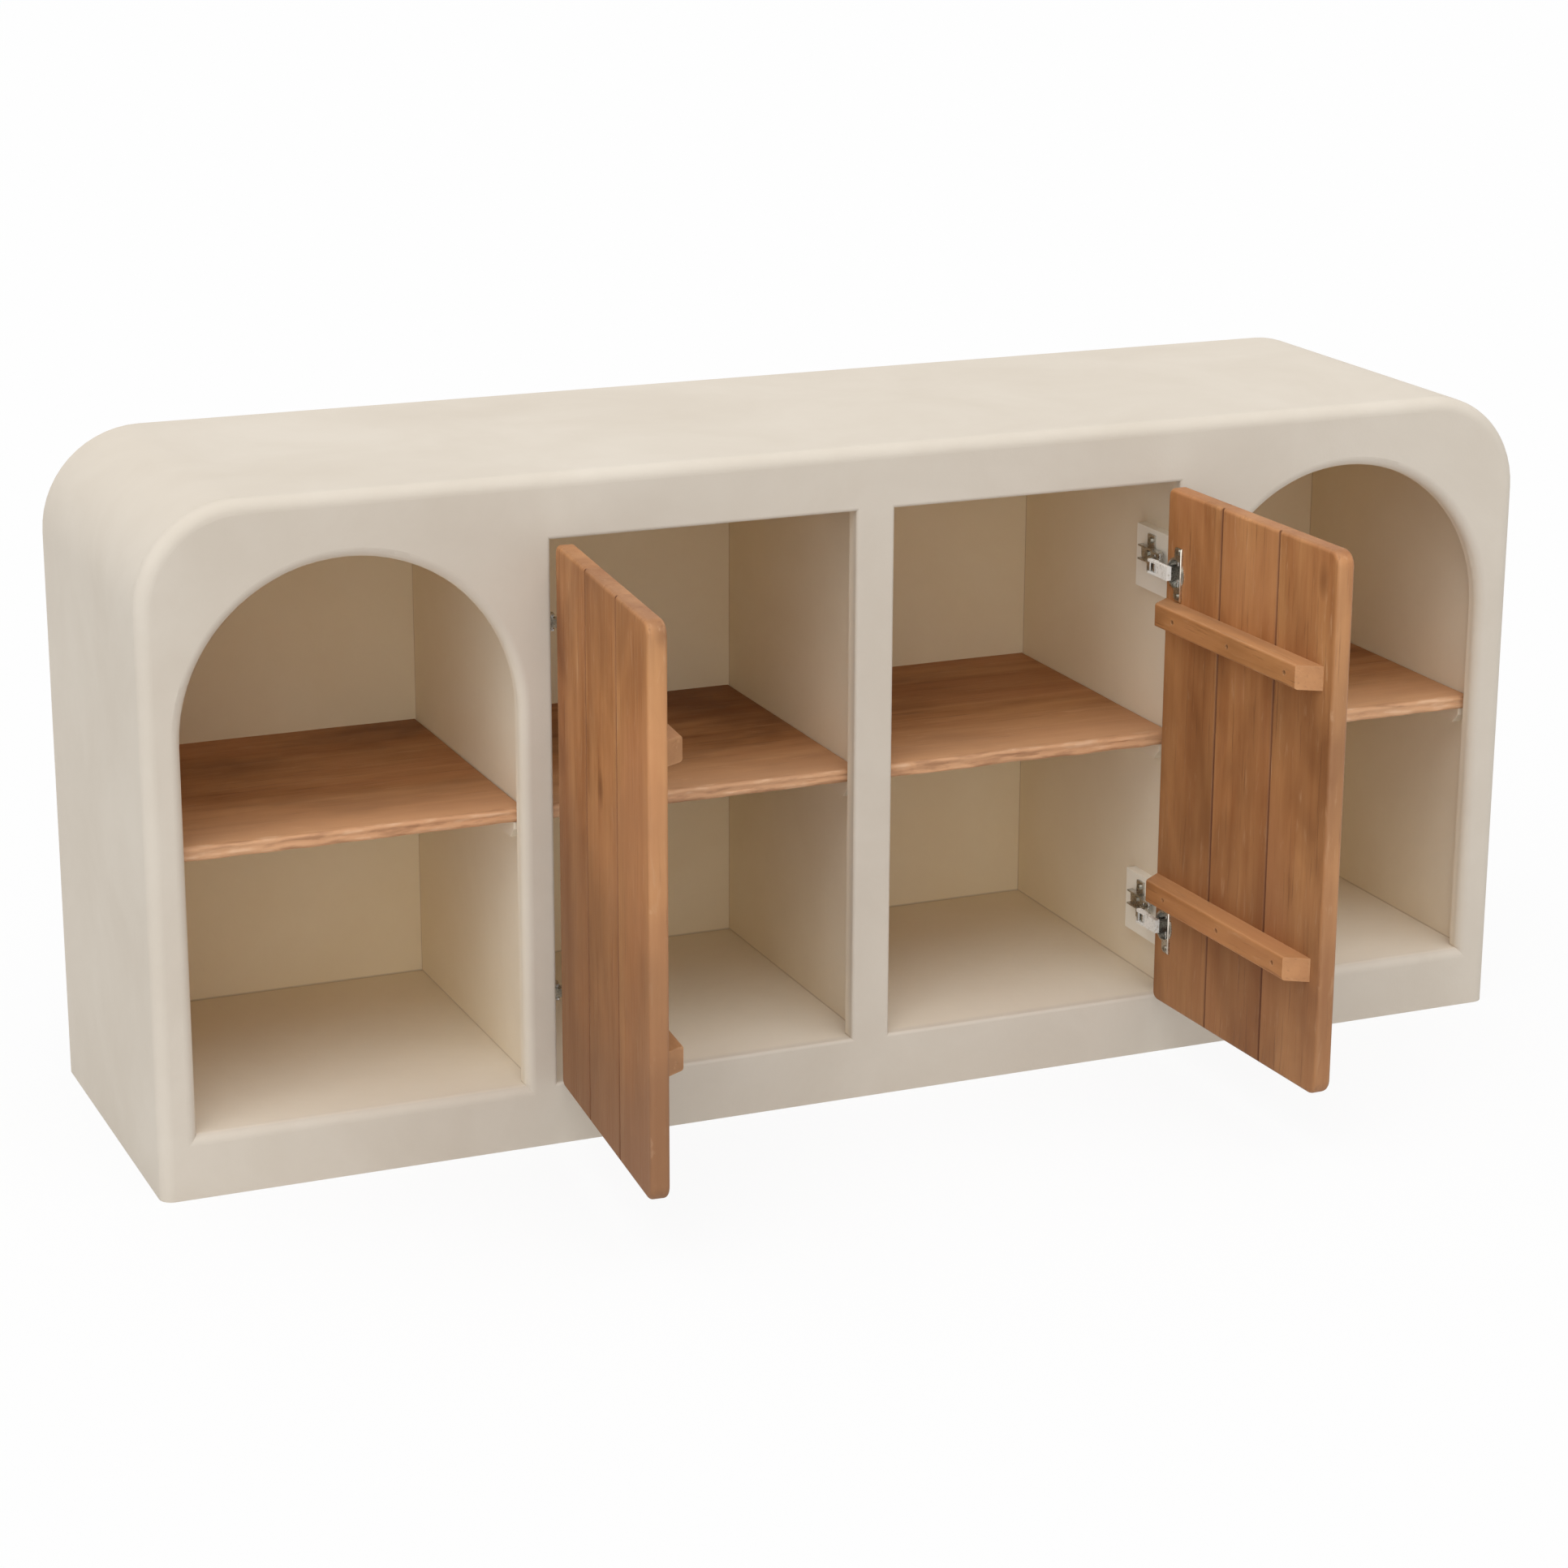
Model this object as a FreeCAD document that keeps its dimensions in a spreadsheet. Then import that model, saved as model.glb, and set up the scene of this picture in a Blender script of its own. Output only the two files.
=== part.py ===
import FreeCAD, Part
import os
import re
import Sketcher

os.makedirs("parts", exist_ok=True)
doc = FreeCAD.newDocument("cabinet")
sheet = doc.addObject("Spreadsheet::Sheet", "Sizes")

# Driving sizes in millimetres and degrees
sizes = {
    # Carcass
    "overall_width": 1660,
    "overall_depth": 430,
    "overall_height": 760,
    "corner_radius": 115,
    "front_edge_rounding": 15,
    "back_edge_rounding": 5,
    "face_panel_thickness": 20,
    "side_panel_thickness": 30,
    "top_panel_thickness": 30,
    "back_panel_thickness": 18,
    "divider_thickness": 12,
    "deck_thickness": 20,
    "plinth_height": 72,
    "bearer_thickness": 18,
    "cut_overrun": 5,
    # Openings in the front
    "opening_height": 617,
    "side_stile_width": 42,
    "arch_width": 372,
    "pier_width": 36,
    "centre_stile_width": 46,
    "arch_edge_rounding": 11,
    "door_opening_rounding": 4,
    # Shelves and cleats
    "shelf_thickness": 16,
    "shelf_bottom_height": 370,
    "shelf_setback": 3,
    "shelf_end_gap": 1.5,
    "shelf_edge_rounding": 5,
    "cleat_height": 20,
    "cleat_width": 12,
    "cleat_setback": 7,
    "cleat_slant": 12,
    # Doors
    "door_thickness": 21,
    "door_side_gap": 2,
    "door_bottom_gap": 1.5,
    "door_top_gap": 1.5,
    "door_hinge_corner_radius": 10,
    "door_free_corner_radius": 17,
    "door_edge_rounding": 5,
    "plank_groove": 2.5,
    "left_open_angle": 95,
    "right_open_angle": 92,
    "batten_height": 27,
    "batten_thickness": 25,
    "batten_edge_rounding": 3,
    "batten_taper": 17,
    "batten_hinge_end_gap": 4,
    "batten_free_end_gap": 20,
    "upper_batten_height": 545.5,
    "lower_batten_height": 215.5,
    "batten_hole_clearance": 0.2,
    "batten_hole_depth": 6,
    # Hinges, seen from above
    "upper_hinge_height": 591.5,
    "lower_hinge_height": 169.5,
    "swing_centre_side_offset": 3.5,
    "swing_centre_front_offset": 5,
    "cup_centre_from_edge": 22.5,
    "cup_radius": 17.5,
    "cup_depth": 11.5,
    "cup_wall": 1.5,
    "cup_floor": 1,
    "flange_radius": 18.5,
    "flange_height": 62,
    "flange_ear_width": 17,
    "flange_thickness": 1,
    "flange_corner_radius": 5,
    "cup_screw_side_offset": 6,
    "cup_screw_spacing": 52,
    "cup_pin_half_length": 16.2,
    "cup_pivot_across": 20,
    "cup_pivot_depth": 15,
    "block_foot_length": 13,
    "block_leg_length": 31,
    "block_half_height": 8,
    "block_slot_half_height": 5.5,
    "block_slot_reach": 8,
    "block_foot_half_width": 3.3,
    "block_leg_inner": 1,
    "block_leg_outer": 4,
    "block_head_half_width": 3.4,
    "second_pivot_across": 1.7,
    "second_pivot_depth": 8.8,
    "pivot_pin_radius": 1.5,
    "pin_clearance": 0.05,
    "link_half_height": 5,
    "link_half_width": 2.2,
    "link_eye_radius": 2.7,
    "arm_half_height": 9,
    "arm_cheek": 2,
    "arm_web": 1.5,
    "arm_nose_radius": 3,
    "arm_back_depth": 80,
    "arm_shoulder_depth": 46,
    "arm_screw_depth": 66,
    "arm_web_depth": 38,
    "arm_rear_rise": 7,
    "plate_thickness": 2.5,
    "plate_front_depth": 44,
    "plate_back_depth": 84,
    "plate_rail_half_height": 7,
    "plate_wing_half_height": 23,
    "plate_wing_front_depth": 54,
    "plate_wing_back_depth": 70,
    "plate_screw_depth": 62,
    "plate_screw_half_spacing": 16,
    "packing_block_depth": 80,
    "packing_block_height": 74,
    "packing_block_drop": 8,
    # Screws
    "screw_radius": 1.9,
    "screw_length": 13,
    "batten_screw_length": 28,
    "batten_screw_head_radius": 2.6,
    "screw_head_radius": 3.6,
    "screw_head_height": 2.2,
    "screw_fit": 0.05,
    "screw_recess_depth": 1.4,
    "screw_recess_reach": 1.8,
    "screw_recess_half_width": 0.4,
}

# Sizes that follow from the others
derived = {
    "front_face": "-overall_depth / 2",
    "face_back": "front_face + face_panel_thickness",
    "back_inside": "overall_depth / 2 - back_panel_thickness",
    "side_inside": "overall_width / 2 - side_panel_thickness",
    "corner_side": "overall_width / 2 - corner_radius",
    "corner_level": "overall_height - corner_radius",
    "top_inside": "overall_height - top_panel_thickness",
    "opening_top": "plinth_height + opening_height",
    "arch_radius": "arch_width / 2",
    "arch_spring": "opening_top - arch_radius",
    "arch_centre": "overall_width / 2 - side_stile_width - arch_radius",
    "divider_centre": "arch_centre - arch_radius - pier_width / 2",
    "door_jamb": "arch_centre - arch_radius - pier_width",
    "door_opening_width": "door_jamb - centre_stile_width / 2",
    "deck_bottom": "plinth_height - deck_thickness",
    "shelf_top_height": "shelf_bottom_height + shelf_thickness",
    "shelf_front": "face_back + shelf_setback",
    "cleat_front": "shelf_front + cleat_setback",
    "door_width": "door_opening_width - 2 * door_side_gap",
    "plank_width": "door_width / 3",
    "door_bottom": "plinth_height + door_bottom_gap",
    "door_top": "opening_top - door_top_gap",
    "leaf_edge": "door_side_gap + swing_centre_side_offset",
    "leaf_front": "swing_centre_front_offset",
    "leaf_back": "leaf_front + door_thickness",
    "batten_back": "leaf_back + batten_thickness",
    "batten_screw_seat": "batten_back - batten_hole_depth",
    "batten_hole_radius": "batten_screw_head_radius + batten_hole_clearance",
    "batten_start": "leaf_edge + batten_hinge_end_gap",
    "batten_end": "leaf_edge + door_width - batten_free_end_gap",
    "cup_centre": "leaf_edge + cup_centre_from_edge",
    "cup_front": "leaf_back - cup_depth",
    "flange_back": "leaf_back + flange_thickness",
    "cup_screw_side": "cup_centre + cup_screw_side_offset",
    "cavity_radius": "cup_radius - cup_wall",
    "cup_pin_side": "cup_pivot_across + swing_centre_side_offset",
    "cup_pin_depth": "cup_pivot_depth + swing_centre_front_offset",
    "link_length": "sqrt(cup_pin_side ^ 2 + cup_pin_depth ^ 2)",
    "link_closed_angle": "atan(cup_pin_depth / cup_pin_side) / 1 deg",
    "arm_pivot_side": "block_foot_length - swing_centre_side_offset",
    "arm_pivot_depth": "block_leg_length - swing_centre_front_offset",
    "left_link_angle": "360 + link_closed_angle - left_open_angle",
    "right_link_angle": "180 - link_closed_angle + right_open_angle",
    "left_block_side": "arm_pivot_side + link_length * cos((left_open_angle - link_closed_angle) * 1 deg)",
    "left_block_depth": "arm_pivot_depth - link_length * sin((left_open_angle - link_closed_angle) * 1 deg)",
    "right_block_side": "arm_pivot_side + link_length * cos((right_open_angle - link_closed_angle) * 1 deg)",
    "right_block_depth": "arm_pivot_depth - link_length * sin((right_open_angle - link_closed_angle) * 1 deg)",
    "pin_hole_radius": "pivot_pin_radius + pin_clearance",
    "screw_hole_radius": "screw_radius + screw_fit",
    "arm_channel_half_height": "arm_half_height - arm_cheek",
    "arm_web_face": "plate_thickness + arm_web",
    "door_lip": "(pier_width - divider_thickness) / 2",
    "packing_back_depth": "face_panel_thickness + packing_block_depth",
    "packing_low": "-packing_block_drop - packing_block_height / 2",
    "packing_high": "-packing_block_drop + packing_block_height / 2",
    "block_foot_side": "-block_foot_length",
    "block_foot_depth": "-block_leg_length",
    "block_head_side": "second_pivot_across + block_head_half_width",
    "block_head_depth": "second_pivot_depth + block_head_half_width",
}

names = list(sizes) + list(derived)
for row, name in enumerate(names, 1):
    sheet.set(f"A{row}", name)
    sheet.set(f"B{row}", str(sizes[name]) if name in sizes else "=" + derived[name])
    sheet.setAlias(f"B{row}", name)
doc.recompute()

nodes = []


# Turn the named sizes in an expression into links to the sheet
def linked(text):
    return re.sub(r"[a-z][a-z_]*",
                  lambda word: "Sizes." + word.group() if word.group() in names else word.group(),
                  str(text))


def number(text):
    return float(sheet.evalExpression(linked(text)))


# Mirror coordinates across for the right-hand door
def flip(side, text):
    return f"({text})" if side == "left" else f"-({text})"


def spread(side, low, high):
    return (f"({low})", f"({high})") if side == "left" else (f"-({high})", f"-({low})")


def mirrored(side, shape):
    return tuple(tuple(flip(side, text) if k % 2 == 0 else text for k, text in enumerate(point))
                 for point in shape)


def place(item, x, y, z, angle=None, turn=1):
    if angle is not None:
        item.Placement = FreeCAD.Placement(FreeCAD.Vector(), FreeCAD.Rotation(FreeCAD.Vector(0, 0, turn), 1))
        item.setExpression("Placement.Rotation.Angle", linked(f"({angle}) * 1 deg"))
    for letter, text in (("x", x), ("y", y), ("z", z)):
        item.setExpression("Placement.Base." + letter, linked(text))


def board(label, low, high):
    box = doc.addObject("Part::Box", label)
    box.Label = label
    for side, start, end in zip(("Length", "Width", "Height"), low, high):
        box.setExpression(side, linked(f"({end}) - ({start})"))
    place(box, *low)
    nodes.append(box)
    return box


def new_body(label, x="0", y="0", z="0", angle=None, turn=1):
    body = doc.addObject("PartDesign::Body", label)
    body.Label = label
    body.AllowCompound = True
    place(body, x, y, z, angle, turn)
    nodes.append(body)
    return body


# Hold one coordinate of a sketch point to an expression
def hold(sketch, kind, text, item, end):
    value = number(text)
    entry = sketch.addConstraint(Sketcher.Constraint("Distance" + kind, -1, 1, item, end, value))
    sketch.renameConstraint(entry, f"{kind.lower()}_{item}_{end}")
    sketch.setExpression(f"Constraints.{kind.lower()}_{item}_{end}", linked(text))


def circle(sketch, x, y, radius):
    centre = FreeCAD.Vector(number(x), number(y), 0)
    item = sketch.addGeometry(Part.Circle(centre, FreeCAD.Vector(0, 0, 1), number(radius)))
    hold(sketch, "X", x, item, 3)
    hold(sketch, "Y", y, item, 3)
    entry = sketch.addConstraint(Sketcher.Constraint("Radius", item, number(radius)))
    sketch.renameConstraint(entry, f"radius_{item}")
    sketch.setExpression(f"Constraints.radius_{item}", linked(radius))


# A closed loop; a point with two more entries starts the shorter arc about that centre
def loop(sketch, points):
    ends = []
    for index, point in enumerate(points):
        after = points[(index + 1) % len(points)]
        start = FreeCAD.Vector(number(point[0]), number(point[1]), 0)
        finish = FreeCAD.Vector(number(after[0]), number(after[1]), 0)
        if len(point) == 2:
            item = sketch.addGeometry(Part.LineSegment(start, finish))
            ends.append((item, 1, 2))
            continue
        centre = FreeCAD.Vector(number(point[2]), number(point[3]), 0)
        one = start - centre
        two = finish - centre
        ahead = one.cross(two).z > 0
        ring = Part.Circle(centre, FreeCAD.Vector(0, 0, 1), one.Length)
        first, last = (start, finish) if ahead else (finish, start)
        item = sketch.addGeometry(Part.ArcOfCircle(ring, ring.parameter(first), ring.parameter(last)))
        ends.append((item, 1, 2) if ahead else (item, 2, 1))
        kind, text = ("Y", point[3]) if abs(finish.x - start.x) >= abs(finish.y - start.y) else ("X", point[2])
        hold(sketch, kind, text, item, 3)
    for index, (item, start, finish) in enumerate(ends):
        other = ends[(index + 1) % len(ends)]
        sketch.addConstraint(Sketcher.Constraint("Coincident", item, finish, other[0], other[1]))
        hold(sketch, "X", points[index][0], item, start)
        hold(sketch, "Y", points[index][1], item, start)


def draw(body, name, plane, shapes, offset):
    sketch = body.newObject("Sketcher::SketchObject", name + "_sketch")
    origin_plane = [entry for entry in body.Origin.OriginFeatures if entry.Role == plane + "_Plane"][0]
    sketch.AttachmentSupport = [(origin_plane, "")]
    sketch.MapMode = "FlatFace"
    sketch.setExpression("AttachmentOffset.Base.z", linked(offset))
    for shape in shapes:
        if isinstance(shape[0], str):
            circle(sketch, *shape)
        else:
            loop(sketch, shape)
    return sketch


def pad(body, name, plane, shapes, low, high):
    sketch = draw(body, name, plane, shapes, f"-({high})" if plane == "XZ" else low)
    feature = body.newObject("PartDesign::Pad", name)
    feature.Profile = sketch
    feature.setExpression("Length", linked(f"({high}) - ({low})"))
    sketch.Visibility = False
    doc.recompute()
    return feature


def cut(body, name, plane, shapes, low, high):
    sketch = draw(body, name, plane, shapes, f"-({low})" if plane == "XZ" else high)
    feature = body.newObject("PartDesign::Pocket", name)
    feature.Profile = sketch
    feature.setExpression("Length", linked(f"({high}) - ({low})"))
    sketch.Visibility = False
    doc.recompute()
    return feature


# Round or bevel the edges whose bounding box passes the test
def soften(body, name, radius, wanted, kind="Fillet"):
    base = body.Tip
    picked = [f"Edge{k}" for k, edge in enumerate(base.Shape.Edges, 1) if wanted(edge.BoundBox)]
    feature = body.newObject("PartDesign::" + kind, name)
    feature.Base = (base, picked)
    feature.setExpression("Radius" if kind == "Fillet" else "Size", linked(radius))
    doc.recompute()
    return feature


def near(value, text):
    return abs(value - number(text)) < number("screw_fit")


# An edge lying wholly in one plane across the given axis
def in_plane(box, axis, text):
    return near(getattr(box, axis + "Min"), text) and near(getattr(box, axis + "Max"), text)


def rectangle(x0, x1, y0, y1):
    return ((x0, y0), (x1, y0), (x1, y1), (x0, y1))


# A cross-shaped drive recess about a point
def cross(x, y):
    long = "screw_recess_reach"
    thin = "screw_recess_half_width"
    corners = ((thin, thin), (thin, long), (f"-{thin}", long), (f"-{thin}", thin), (f"-{long}", thin),
               (f"-{long}", f"-{thin}"), (f"-{thin}", f"-{thin}"), (f"-{thin}", f"-{long}"),
               (thin, f"-{long}"), (thin, f"-{thin}"), (long, f"-{thin}"), (long, thin))
    return tuple((f"{x} + ({across})", f"{y} + ({up})") for across, up in corners)


# Screws along one axis, heads towards the high or the low end
def screws(body, name, plane, centres, seat, length="screw_length", head_radius="screw_head_radius",
           heads_high=True):
    out, back = ("+", "-") if heads_high else ("-", "+")
    tip = f"{seat} {back} {length}"
    top = f"{seat} {out} screw_head_height"
    floor = f"{top} {back} screw_recess_depth"
    spans = [(tip, seat), (seat, top), (floor, top)]
    shank, head, recess = spans if heads_high else [(high, low) for low, high in spans]
    pad(body, name + "_shank", plane, [(x, y, "screw_radius") for x, y in centres], *shank)
    pad(body, name + "_head", plane, [(x, y, head_radius) for x, y in centres], *head)
    cut(body, name + "_recess", plane, [cross(x, y) for x, y in centres], *recess)


# Rounded outline shared by the front and back panels
half = "overall_width / 2"
outline = (
    (f"-{half}", "0"), (half, "0"), (half, "corner_level", "corner_side", "corner_level"),
    ("corner_side", "overall_height"),
    ("-corner_side", "overall_height", "-corner_side", "corner_level"), (f"-{half}", "corner_level"))


def arch(centre):
    return ((f"{centre} - arch_radius", "plinth_height"), (f"{centre} + arch_radius", "plinth_height"),
            (f"{centre} + arch_radius", "arch_spring", centre, "arch_spring"),
            (centre, "opening_top", centre, "arch_spring"), (f"{centre} - arch_radius", "arch_spring"))


def outer_edge(box, plane):
    return in_plane(box, "Y", plane) and (
        in_plane(box, "X", half) or in_plane(box, "X", f"-{half}") or box.ZMax > number("opening_top + screw_length"))


# Front panel with its four openings
front_panel = new_body("front_panel")
openings = [arch("-arch_centre"), arch("arch_centre"),
            rectangle("-door_jamb", "-centre_stile_width / 2", "plinth_height", "opening_top"),
            rectangle("centre_stile_width / 2", "door_jamb", "plinth_height", "opening_top")]
pad(front_panel, "front_board", "XZ", [outline] + openings, "front_face", "face_back")
soften(front_panel, "front_outer_rounding", "front_edge_rounding", lambda box: outer_edge(box, "front_face"))
soften(front_panel, "arch_rounding", "arch_edge_rounding", lambda box: in_plane(box, "Y", "front_face")
       and min(abs(box.XMin), abs(box.XMax)) > number("door_jamb + screw_length")
       and max(abs(box.XMin), abs(box.XMax)) < number("arch_centre + arch_radius + cut_overrun")
       and box.ZMin > number("plinth_height / 2") and box.ZMax < number("opening_top + cut_overrun"))
soften(front_panel, "door_opening_rounding", "door_opening_rounding", lambda box: in_plane(box, "Y", "front_face")
       and max(abs(box.XMin), abs(box.XMax)) < number("door_jamb + cut_overrun")
       and box.ZMin > number("plinth_height / 2"))

# Back panel
back_panel = new_body("back_panel")
pad(back_panel, "back_board", "XZ", [outline], "back_inside", "overall_depth / 2")
soften(back_panel, "back_rounding", "back_edge_rounding", lambda box: outer_edge(box, "overall_depth / 2"))

# Sides, rounded corner shells, top, deck and plinth
board("left_side_panel", (f"-{half}", "face_back", "0"), ("-side_inside", "back_inside", "corner_level"))
board("right_side_panel", ("side_inside", "face_back", "0"), (half, "back_inside", "corner_level"))
for side in ("left", "right"):
    mirror = "-" if side == "left" else ""
    shell = new_body(side + "_corner_shell")
    centre = (mirror + "corner_side", "corner_level")
    pad(shell, side + "_shell_curve", "XZ",
        [((f"{mirror}({half})", "corner_level", *centre), (mirror + "corner_side", "overall_height"),
          (mirror + "corner_side", "top_inside", *centre), (mirror + "side_inside", "corner_level"))],
        "face_back", "back_inside")
board("top_panel", ("-corner_side", "face_back", "top_inside"), ("corner_side", "back_inside", "overall_height"))
board("bottom_deck", ("-side_inside", "face_back", "deck_bottom"), ("side_inside", "back_inside", "plinth_height"))
board("rear_plinth_rail", ("-side_inside", "back_inside - bearer_thickness", "0"),
      ("side_inside", "back_inside", "deck_bottom"))
thick = "divider_thickness / 2"
dividers = (("left_divider", "-divider_centre"), ("centre_divider", "0"), ("right_divider", "divider_centre"))
for label, centre in dividers:
    board(label, (f"{centre} - {thick}", "face_back", "plinth_height"),
          (f"{centre} + {thick}", "back_inside", "top_inside"))
bearers = new_body("plinth_bearers")
pad(bearers, "bearer_boards", "XY",
    [rectangle(f"{centre} - bearer_thickness / 2", f"{centre} + bearer_thickness / 2", "face_back",
               "back_inside - bearer_thickness") for label, centre in dividers], "0", "deck_bottom")

# Shelves on their cleats
walls = (("left_niche", "-side_inside", f"-divider_centre - {thick}"),
         ("left_bay", f"-divider_centre + {thick}", f"-{thick}"),
         ("right_bay", thick, f"divider_centre - {thick}"),
         ("right_niche", f"divider_centre + {thick}", "side_inside"))
cleat_shapes = []
for label, start, end in walls:
    shelf = new_body(label + "_shelf")
    pad(shelf, label + "_shelf_board", "XY",
        [rectangle(f"{start} + shelf_end_gap", f"{end} - shelf_end_gap", "shelf_front", "back_inside")],
        "shelf_bottom_height", "shelf_top_height")
    soften(shelf, label + "_shelf_rounding", "shelf_edge_rounding",
           lambda box: in_plane(box, "Y", "shelf_front") and in_plane(box, "Z", f"{box.ZMin}"))
    cleat_shapes += [rectangle(start, f"{start} + cleat_width", "cleat_front", "back_inside"),
                     rectangle(f"{end} - cleat_width", end, "cleat_front", "back_inside")]
cleats = new_body("shelf_cleats")
pad(cleats, "cleat_bars", "XY", cleat_shapes, "shelf_bottom_height - cleat_height", "shelf_bottom_height")
soften(cleats, "cleat_slant_ends", "cleat_slant", lambda box: in_plane(box, "Y", "cleat_front")
       and in_plane(box, "Z", "shelf_bottom_height - cleat_height"), "Chamfer")

# Doors, modelled shut about their swing centre, then turned open
levels = ("upper", "lower")
past = "cut_overrun"
plank_shares = (0.5, 1.5, 2.5)
first_joint, second_joint = "leaf_edge + plank_width", "leaf_edge + 2 * plank_width"
bottom = "door_bottom + door_hinge_corner_radius"
top = "door_top - door_hinge_corner_radius"
inner = "leaf_edge + door_hinge_corner_radius"
hinge_outline = ((inner, "door_bottom"), (first_joint, "door_bottom"), (first_joint, "door_top"),
                 (inner, "door_top", inner, top), ("leaf_edge", top), ("leaf_edge", bottom, inner, bottom))
middle_outline = rectangle(first_joint, second_joint, "door_bottom", "door_top")
bottom = "door_bottom + door_free_corner_radius"
top = "door_top - door_free_corner_radius"
outer = "leaf_edge + door_width - door_free_corner_radius"
free_outline = ((second_joint, "door_bottom"), (outer, "door_bottom", outer, bottom),
                ("leaf_edge + door_width", bottom), ("leaf_edge + door_width", top, outer, top),
                (outer, "door_top"), (second_joint, "door_top"))
for side in ("left", "right"):
    swing = dict(x=flip(side, "-door_jamb - swing_centre_side_offset"),
                 y="front_face - swing_centre_front_offset",
                 angle=side + "_open_angle", turn=-1 if side == "left" else 1)
    cup_screw_points = [(flip(side, "cup_screw_side"), f"{level}_hinge_height {sign} cup_screw_spacing / 2")
                        for level in levels for sign in "+-"]
    batten_points = [(flip(side, f"leaf_edge + plank_width * {share}"), f"{level}_batten_height")
                     for share in plank_shares for level in levels]

    # Three planks with V joints, cup bores and screw holes
    outlines = (("hinge", hinge_outline), ("middle", middle_outline), ("free", free_outline))
    for index, (label, shape) in enumerate(outlines):
        plank = new_body(f"{side}_door_{label}_plank", **swing)
        pad(plank, plank.Label + "_board", "XZ", [mirrored(side, shape)], "leaf_front", "leaf_back")
        joints = [(k, sign) for k, sign in ((index, "+"), (index + 1, "-")) if 0 < k < 3]
        soften(plank, plank.Label + "_rounding", "door_edge_rounding",
               lambda box: (in_plane(box, "Y", "leaf_front") or in_plane(box, "Y", "leaf_back"))
               and not any(in_plane(box, "X", flip(side, f"leaf_edge + {k} * plank_width"))
                           for k, sign in joints))
        grooves = []
        for k, sign in joints:
            line = f"leaf_edge + {k} * plank_width"
            for face, inward in (("leaf_front", "+"), ("leaf_back", "-")):
                grooves.append(mirrored(side, ((line, face), (f"{line} {sign} plank_groove", face),
                                               (line, f"{face} {inward} plank_groove"))))
        cut(plank, plank.Label + "_grooves", "XY", grooves, f"door_bottom - {past}", f"door_top + {past}")
        holes = [(x, z, "screw_hole_radius") for x, z in batten_points[index * 2:index * 2 + 2]]
        cut(plank, plank.Label + "_batten_screw_holes", "XZ", holes,
            "batten_screw_seat - batten_screw_length - screw_fit", f"leaf_back + {past}")
        if label == "hinge":
            bores = [(flip(side, "cup_centre"), f"{level}_hinge_height", "cup_radius + screw_fit")
                     for level in levels]
            cut(plank, plank.Label + "_cup_bores", "XZ", bores, "cup_front", f"leaf_back + {past}")
            cut(plank, plank.Label + "_cup_screw_holes", "XZ",
                [(x, z, "screw_hole_radius") for x, z in cup_screw_points],
                "flange_back - screw_length - screw_fit", f"leaf_back + {past}")

    # Two battens with deep screw holes
    for row, level in enumerate(levels):
        batten = new_body(f"{side}_door_{level}_batten", **swing)
        bar = (("batten_start", "leaf_back"), ("batten_end", "leaf_back"),
               ("batten_end - batten_taper", "batten_back"), ("batten_start + batten_taper", "batten_back"))
        pad(batten, batten.Label + "_bar", "XY", [mirrored(side, bar)],
            f"{level}_batten_height - batten_height / 2", f"{level}_batten_height + batten_height / 2")
        soften(batten, batten.Label + "_rounding", "batten_edge_rounding",
               lambda box: in_plane(box, "Y", "batten_back") and box.XLength > number("batten_height"))
        points = batten_points[row::2]
        cut(batten, batten.Label + "_screw_holes", "XZ", [(x, z, "screw_hole_radius") for x, z in points],
            f"leaf_back - {past}", f"batten_back + {past}")
        cut(batten, batten.Label + "_sinks", "XZ", [(x, z, "batten_hole_radius") for x, z in points],
            "batten_screw_seat", f"batten_back + {past}")
    fixings = new_body(side + "_batten_screws", **swing)
    screws(fixings, fixings.Label, "XZ", batten_points, "batten_screw_seat", "batten_screw_length",
           "batten_screw_head_radius")

    # Hinge cups with their flanges and pins
    low, high = "cup_screw_side - flange_ear_width / 2", "cup_screw_side + flange_ear_width / 2"
    near_side, far_side = f"{low} + flange_corner_radius", f"{high} - flange_corner_radius"
    for level in levels:
        cup = new_body(f"{side}_{level}_hinge_cup", **swing)
        height = f"{level}_hinge_height"
        middle = flip(side, "cup_centre")
        pad(cup, cup.Label + "_shell", "XZ", [(middle, height, "cup_radius")], "cup_front", "leaf_back")
        pad(cup, cup.Label + "_rim", "XZ", [(middle, height, "flange_radius")], "leaf_back", "flange_back")
        down, up = f"{height} - flange_height / 2", f"{height} + flange_height / 2"
        first, last = f"{down} + flange_corner_radius", f"{up} - flange_corner_radius"
        ears = ((near_side, down), (far_side, down, far_side, first), (high, first), (high, last, far_side, last),
                (far_side, up), (near_side, up, near_side, last), (low, last), (low, first, near_side, first))
        pad(cup, cup.Label + "_ears", "XZ", [mirrored(side, ears)], "leaf_back", "flange_back")
        cut(cup, cup.Label + "_cavity", "XZ", [(flip(side, "cup_centre"), height, "cavity_radius")],
            "cup_front + cup_floor", f"flange_back + {past}")
        cut(cup, cup.Label + "_screw_holes", "XZ",
            [(x, z, "screw_hole_radius") for x, z in cup_screw_points if level in z], f"leaf_back - {past}",
            f"flange_back + {past}")
        pad(cup, cup.Label + "_pin", "XY", [(flip(side, "cup_pin_side"), "cup_pin_depth", "pivot_pin_radius")],
            f"{height} - cup_pin_half_length", f"{height} + cup_pin_half_length")
    fixings = new_body(side + "_cup_screws", **swing)
    screws(fixings, fixings.Label, "XZ", cup_screw_points, "flange_back")

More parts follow.
